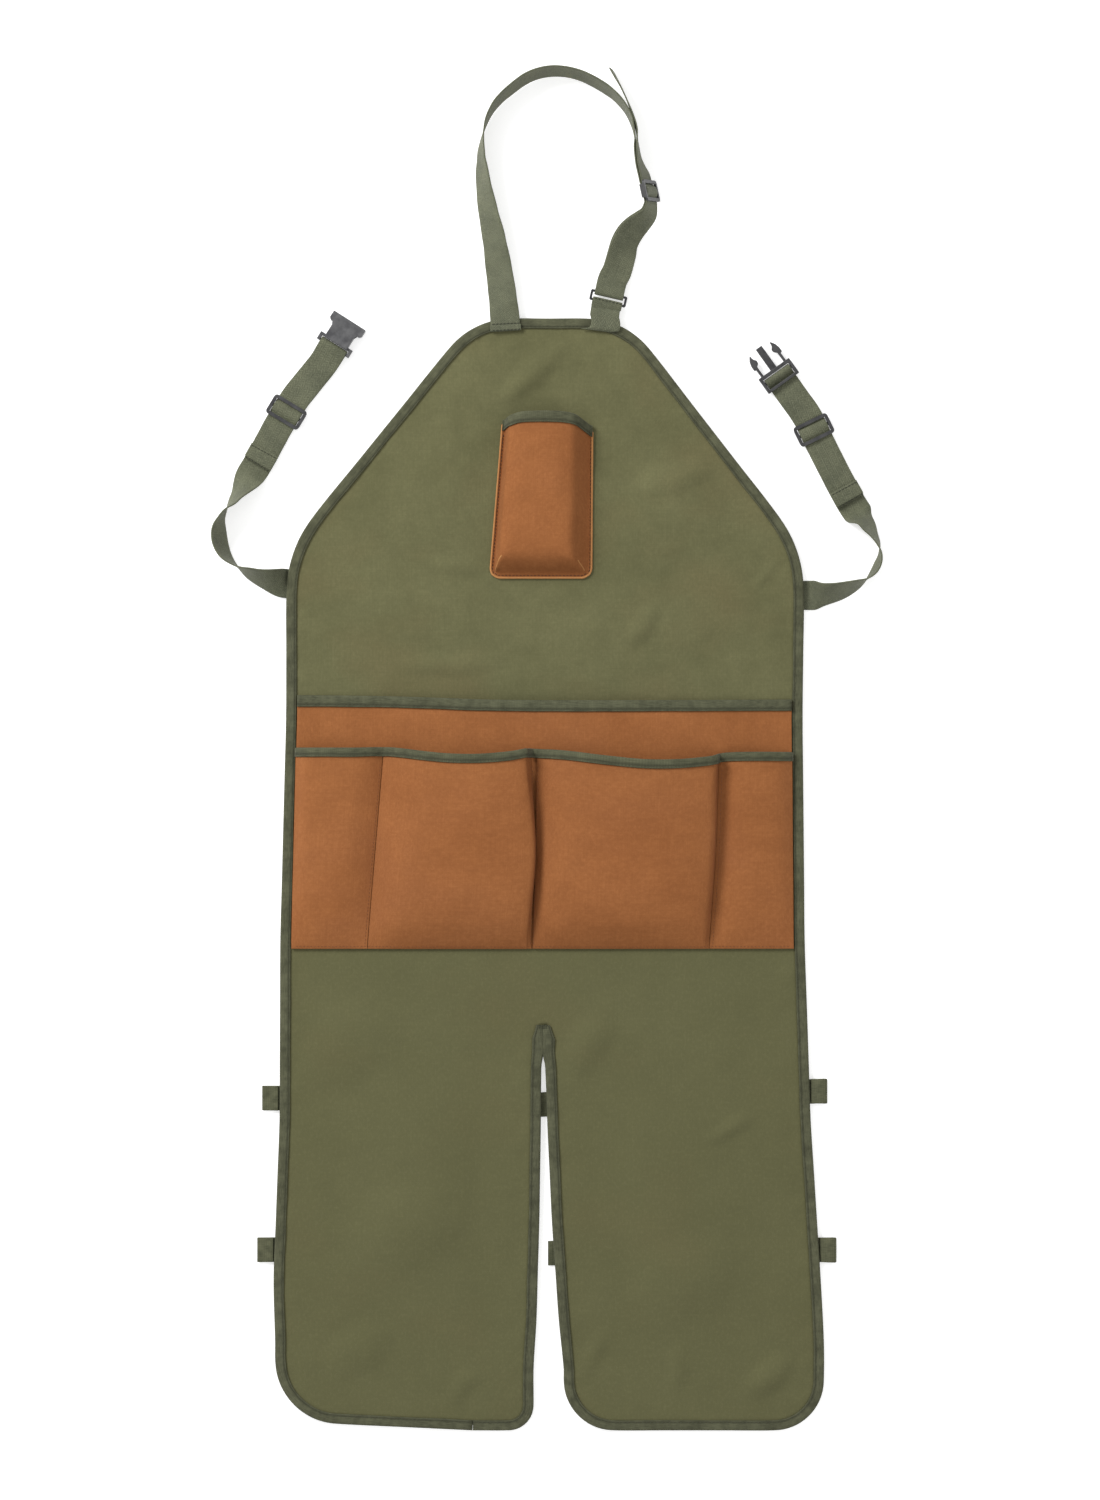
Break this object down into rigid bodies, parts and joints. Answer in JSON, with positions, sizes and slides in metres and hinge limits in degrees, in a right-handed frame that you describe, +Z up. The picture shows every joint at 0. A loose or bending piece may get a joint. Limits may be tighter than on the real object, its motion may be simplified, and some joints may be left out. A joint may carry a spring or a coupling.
{
  "type": "gardening apron",
  "caption": "Long split-leg canvas gardening apron laid flat, with bellows tool pockets, a chest pocket, bound edges, an adjustable neck strap and a buckled waist strap.",
  "frame": {"origin": "on the surface the apron lies on, under the middle of the whole laid-out apron with its straps", "axes": "+X across the apron towards its right side in the picture, +Y along it towards the neck, +Z up out of its front face"},
  "size_m": [0.5572, 1.1356, 0.0361],
  "materials": {
    "green_canvas": "waxed plain weave",
    "green_tape": "ribbed twill tape",
    "brown_canvas": "plain weave",
    "webbing": "woven webbing",
    "grey_plastic": "satin",
    "black_wire": "satin"
  },
  "bodies": {
    "root": {"main_panel": "green_canvas", "edge_binding": "green_tape", "back_pocket": "brown_canvas", "back_pocket_binding": "green_tape", "front_pocket_left": "brown_canvas", "bellows_pocket_left": "brown_canvas", "bellows_pocket_right": "brown_canvas", "front_pocket_right": "brown_canvas", "front_binding_left": "green_tape", "bellows_binding_left": "green_tape", "bellows_binding_right": "green_tape", "front_binding_right": "green_tape", "chest_pocket": "brown_canvas", "chest_pocket_binding": "green_tape", "neck_strap": "webbing", "neck_slider": "grey_plastic", "neck_ring": "black_wire", "neck_tab": "webbing", "waist_strap_left": "webbing", "waist_strap_right": "webbing", "waist_slider_left": "grey_plastic", "waist_slider_right": "grey_plastic", "buckle_socket": "grey_plastic", "buckle_plug": "grey_plastic", "leg_strap_left_upper": "webbing", "leg_strap_left_lower": "webbing", "leg_strap_right_upper": "webbing", "leg_strap_right_lower": "webbing"}
  },
  "joints": []
}
